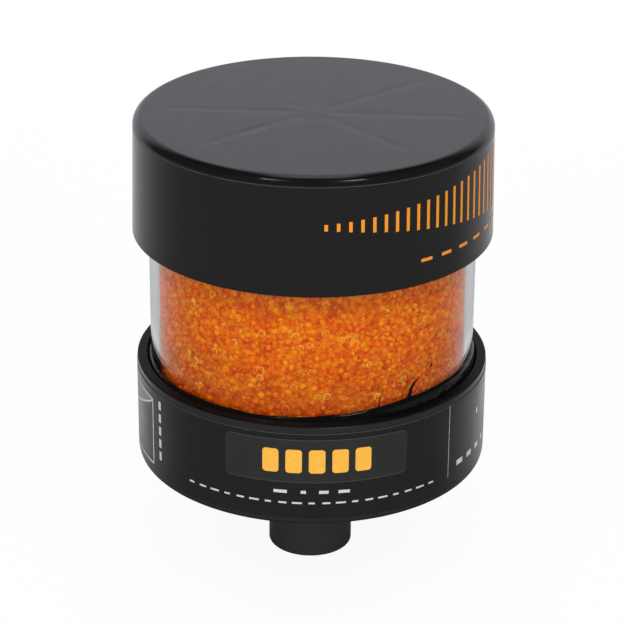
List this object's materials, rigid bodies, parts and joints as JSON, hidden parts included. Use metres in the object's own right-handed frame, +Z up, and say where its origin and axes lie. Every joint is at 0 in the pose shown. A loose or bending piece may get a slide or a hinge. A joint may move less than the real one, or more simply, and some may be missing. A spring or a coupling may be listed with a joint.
{
  "type": "silica gel breather",
  "caption": "Disposable desiccant breather: clear casing of orange silica gel beads between a black cap and base cup, with a slip-fit stem and vent plugs that pull out.",
  "frame": {"origin": "middle of the stem's lower end", "axes": "+Z up along the axis, from the stem to the cap; the label's panel faces -Y"},
  "size_m": [0.1396, 0.1396, 0.1845],
  "materials": {
    "black_moulding": "moulded black ABS, semi-gloss",
    "stem_plastic": "satin black pipe plastic",
    "clear_plastic": "clear cast acrylic tube",
    "pale_plastic": "pale PVC pipe",
    "screen_plastic": "black moulded screen",
    "foam": "open-cell grey foam",
    "filter_felt": "white needled polyester",
    "amber_beads": "translucent orange indicating silica gel beads",
    "sealant": "glossy black sealant",
    "label_film": "satin black film",
    "sticker_film": "satin dark grey film",
    "plug_rubber": "soft black polyethylene"
  },
  "bodies": {
    "breather": {"base_cup": "black_moulding", "stem": "stem_plastic", "top_cap": "black_moulding", "clear_casing": "clear_plastic", "standpipe": "pale_plastic", "lower_screen": "screen_plastic", "lower_foam": "foam", "lower_filter": "filter_felt", "silica_gel": "amber_beads", "upper_filter": "filter_felt", "upper_foam": "foam", "upper_screen": "screen_plastic", "lower_seal": "sealant", "upper_seal": "sealant", "wrap_label": "label_film", "panel_sticker": "sticker_film"},
    "vent_plug_1": {"vent_plug_1": "plug_rubber"},
    "vent_plug_2": {"vent_plug_2": "plug_rubber"},
    "vent_plug_3": {"vent_plug_3": "plug_rubber"},
    "vent_plug_4": {"vent_plug_4": "plug_rubber"},
    "vent_plug_5": {"vent_plug_5": "plug_rubber"},
    "vent_plug_6": {"vent_plug_6": "plug_rubber"},
    "vent_plug_7": {"vent_plug_7": "plug_rubber"},
    "vent_plug_8": {"vent_plug_8": "plug_rubber"}
  },
  "joints": [
    {"name": "vent_plug_1_pull", "type": "slide", "parent": "breather", "child": "vent_plug_1", "axis": [0, 0, -1], "range_m": [0, 0.012]},
    {"name": "vent_plug_2_pull", "type": "slide", "parent": "breather", "child": "vent_plug_2", "axis": [0, 0, -1], "range_m": [0, 0.012]},
    {"name": "vent_plug_3_pull", "type": "slide", "parent": "breather", "child": "vent_plug_3", "axis": [0, 0, -1], "range_m": [0, 0.012]},
    {"name": "vent_plug_4_pull", "type": "slide", "parent": "breather", "child": "vent_plug_4", "axis": [0, 0, -1], "range_m": [0, 0.012]},
    {"name": "vent_plug_5_pull", "type": "slide", "parent": "breather", "child": "vent_plug_5", "axis": [0, 0, -1], "range_m": [0, 0.012]},
    {"name": "vent_plug_6_pull", "type": "slide", "parent": "breather", "child": "vent_plug_6", "axis": [0, 0, -1], "range_m": [0, 0.012]},
    {"name": "vent_plug_7_pull", "type": "slide", "parent": "breather", "child": "vent_plug_7", "axis": [0, 0, -1], "range_m": [0, 0.012]},
    {"name": "vent_plug_8_pull", "type": "slide", "parent": "breather", "child": "vent_plug_8", "axis": [0, 0, -1], "range_m": [0, 0.012]}
  ]
}
